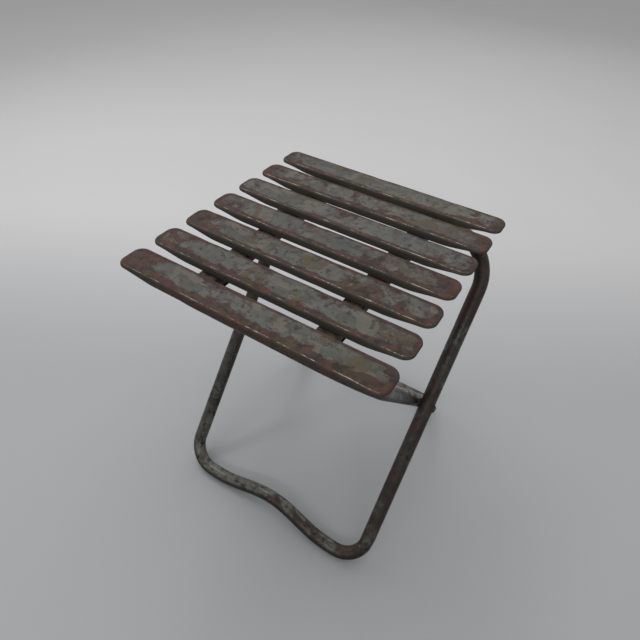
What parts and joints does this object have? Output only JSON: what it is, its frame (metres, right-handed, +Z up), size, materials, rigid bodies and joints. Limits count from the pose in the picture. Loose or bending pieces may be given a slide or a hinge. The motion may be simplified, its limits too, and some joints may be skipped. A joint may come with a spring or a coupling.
{
  "type": "folding camp stool",
  "caption": "Folding camp stool with a flat seat of pressed steel slats on two crossed frames of bent steel tube.",
  "frame": {"origin": "on the floor, under the middle of the stool's bounding box", "axes": "+X along the slats to the right-hand side of someone facing the stool's front, +Y from the front to the back, +Z up"},
  "size_m": [0.3374, 0.374, 0.433],
  "materials": {
    "slat_paint": "worn matte greenish-grey paint over steel, with rust showing through",
    "tube_paint": "worn dark grey-brown paint over steel tube, half gloss",
    "worn_steel": "bare steel darkened with rust and handling"
  },
  "bodies": {
    "outer_frame": {"outer_frame_tube": "tube_paint", "left_pivot_rivet": "worn_steel", "right_pivot_rivet": "worn_steel", "left_pivot_spacer": "worn_steel", "right_pivot_spacer": "worn_steel"},
    "inner_frame": {"inner_frame_tube": "tube_paint"},
    "seat": {"slat_1": "slat_paint", "slat_2": "slat_paint", "slat_3": "slat_paint", "slat_4": "slat_paint", "slat_5": "slat_paint", "slat_6": "slat_paint", "slat_7": "slat_paint", "left_seat_rail": "slat_paint", "left_front_hook": "worn_steel", "left_hook_rivet_1": "worn_steel", "left_hook_rivet_2": "worn_steel", "left_hinge_strap": "worn_steel", "left_hinge_rivet_1": "worn_steel", "left_hinge_rivet_2": "worn_steel", "right_seat_rail": "slat_paint", "right_front_hook": "worn_steel", "right_hook_rivet_1": "worn_steel", "right_hook_rivet_2": "worn_steel", "right_hinge_strap": "worn_steel", "right_hinge_rivet_1": "worn_steel", "right_hinge_rivet_2": "worn_steel"}
  },
  "joints": [
    {"name": "frame_fold", "type": "hinge", "parent": "outer_frame", "child": "inner_frame", "pos_m": [0, 0.0042, 0.211], "axis": [-1, 0, 0], "range_deg": [0, 72]},
    {"name": "seat_hinge", "type": "hinge", "parent": "outer_frame", "child": "seat", "pos_m": [0, 0.14646, 0.3954], "axis": [-1, 0, 0], "range_deg": [0, 127.6]}
  ],
  "couplings": [
    {"joint": "seat_hinge", "follows": "frame_fold", "ratio": 1.772}
  ]
}
